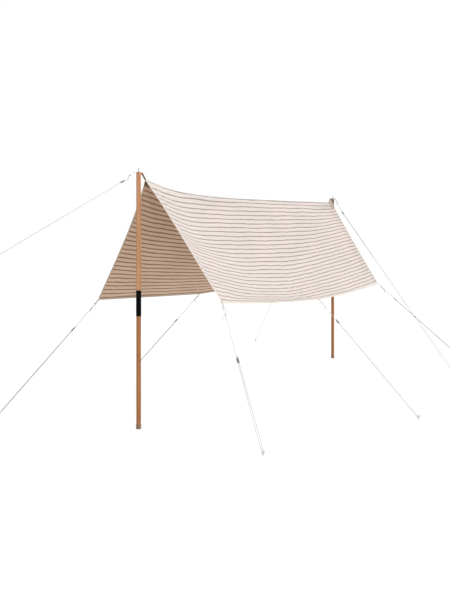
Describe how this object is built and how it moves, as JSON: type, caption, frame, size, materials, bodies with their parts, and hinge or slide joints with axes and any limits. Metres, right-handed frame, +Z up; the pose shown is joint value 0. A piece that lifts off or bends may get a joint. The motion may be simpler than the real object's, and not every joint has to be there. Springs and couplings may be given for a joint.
{
  "type": "sun canopy",
  "caption": "Rectangular striped cloth canopy pitched over two jointed wooden poles and held taut by guy ropes, sliders and ground pegs.",
  "frame": {"origin": "on the ground at the centre of the front pole's foot, which is the pole nearer to the viewer in the picture", "axes": "+X along the ridge from the front pole to the back pole, +Y to the canopy's left side, +Z up"},
  "size_m": [8.2309, 3.4771, 2.036],
  "materials": {
    "striped_cloth": "matt woven, thin dark stripes",
    "oiled_wood": "oiled, satin",
    "black_plastic": "matt",
    "grey_rubber": "matt",
    "steel": "galvanised",
    "tan_leather": "waxed",
    "cream_webbing": "woven webbing",
    "cream_rope": "twisted cord"
  },
  "bodies": {
    "root": {"back_guy_rope": "cream_rope", "back_left_guy_rope": "cream_rope", "back_left_peg": "steel", "back_left_slider": "black_plastic", "back_left_tab": "cream_webbing", "back_peg": "steel", "back_pole_foot": "grey_rubber", "back_pole_lower": "oiled_wood", "back_pole_sleeve": "black_plastic", "back_pole_spike": "steel", "back_pole_upper": "oiled_wood", "back_ridge_strap": "tan_leather", "back_right_guy_rope": "cream_rope", "back_right_peg": "steel", "back_right_slider": "black_plastic", "back_right_tab": "cream_webbing", "back_slider": "black_plastic", "canopy_sheet": "striped_cloth", "front_guy_rope": "cream_rope", "front_left_guy_rope": "cream_rope", "front_left_peg": "steel", "front_left_slider": "black_plastic", "front_left_tab": "cream_webbing", "front_peg": "steel", "front_pole_foot": "grey_rubber", "front_pole_lower": "oiled_wood", "front_pole_sleeve": "black_plastic", "front_pole_spike": "steel", "front_pole_upper": "oiled_wood", "front_ridge_strap": "tan_leather", "front_right_guy_rope": "cream_rope", "front_right_peg": "steel", "front_right_slider": "black_plastic", "front_right_tab": "cream_webbing", "front_slider": "black_plastic", "mid_left_guy_rope": "cream_rope", "mid_left_peg": "steel", "mid_left_slider": "black_plastic", "mid_left_tab": "cream_webbing", "mid_right_guy_rope": "cream_rope", "mid_right_peg": "steel", "mid_right_slider": "black_plastic", "mid_right_tab": "cream_webbing"}
  },
  "joints": []
}
